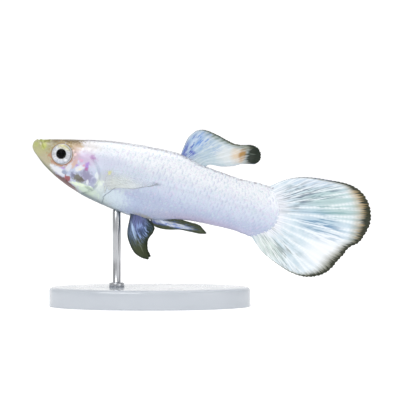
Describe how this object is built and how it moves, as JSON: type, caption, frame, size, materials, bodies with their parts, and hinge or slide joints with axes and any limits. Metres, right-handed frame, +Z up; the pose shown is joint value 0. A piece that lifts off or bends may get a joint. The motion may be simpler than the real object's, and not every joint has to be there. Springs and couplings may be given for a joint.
{
  "type": "fancy guppy model on a display stand",
  "caption": "Life-size male fancy guppy, pearl white with a broad fan tail, swimming head up on a rod above a low oval base.",
  "frame": {"origin": "centre of the bottom of the overall box, on the underside of the stand's base", "axes": "+X from the snout towards the tail, +Y from the fish's left side to its right side, +Z up"},
  "size_m": [0.042, 0.014, 0.0219],
  "materials": {
    "snout_skin": "wet olive-brown skin of the snout and the top of the head",
    "pearl_skin": "wet pearl-white scaled skin with a lavender tint",
    "pale_fin": "thin pale blue fin membrane with dark margins",
    "dark_fin": "thin dark olive fin membrane with pale blue streaks",
    "clear_fin": "thin clear grey fin membrane",
    "silver": "silvery iris and gill cover",
    "acrylic": "polished white acrylic",
    "steel": "satin steel rod"
  },
  "bodies": {
    "root": {"head": "snout_skin", "lower_jaw": "snout_skin", "torso": "pearl_skin", "tail_stalk": "pearl_skin", "dorsal_fin": "pale_fin", "caudal_fin": "pale_fin", "anal_fin": "dark_fin", "eye_left": "silver", "eye_right": "silver", "gill_cover_left": "silver", "gill_cover_right": "silver", "pectoral_fin_left": "clear_fin", "pectoral_fin_right": "clear_fin", "pelvic_fin_left": "dark_fin", "pelvic_fin_right": "dark_fin", "stand_base": "acrylic", "stand_rod": "steel"}
  },
  "joints": []
}
